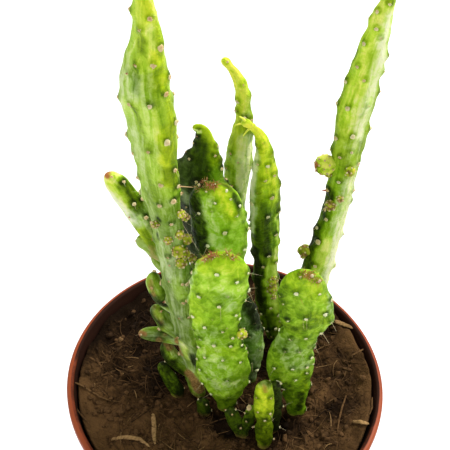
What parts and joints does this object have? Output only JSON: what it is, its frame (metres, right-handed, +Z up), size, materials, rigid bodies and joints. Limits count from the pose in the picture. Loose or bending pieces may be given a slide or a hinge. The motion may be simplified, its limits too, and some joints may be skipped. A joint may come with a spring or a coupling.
{
  "type": "potted paddle cactus",
  "caption": "Cluster of rooted paddle cactus cuttings with side shoots, areoles and short spines, in a round tapered nursery pot filled with coir soil.",
  "frame": {"origin": "middle of the pot's flat underside, where the pot stands", "axes": "+Z up along the pot's axis, -Y towards the side the plant is shown from, +X to the right seen from there"},
  "size_m": [0.12, 0.12, 0.2819],
  "materials": {
    "pot": "satin moulded plastic, terracotta orange",
    "soil": "coarse coir and peat, dark brown",
    "stem_pale": "waxy skin, pale green with cream streaks",
    "stem_bright": "waxy skin, yellow green",
    "stem_green": "waxy skin, fresh green",
    "stem_deep": "waxy skin, dark green"
  },
  "bodies": {
    "root": {"pot": "pot", "soil": "soil", "tall_left_stem": "stem_pale", "front_left_stem": "stem_bright", "centre_stem": "stem_green", "crested_stem": "stem_deep", "back_hook_stem": "stem_bright", "slim_stem": "stem_bright", "front_right_stem": "stem_green", "tall_right_stem": "stem_green", "small_bright_stem": "stem_bright", "sprout_left": "stem_green", "sprout_inner": "stem_deep", "sprout_front": "stem_deep", "sprout_right": "stem_deep"}
  },
  "joints": []
}
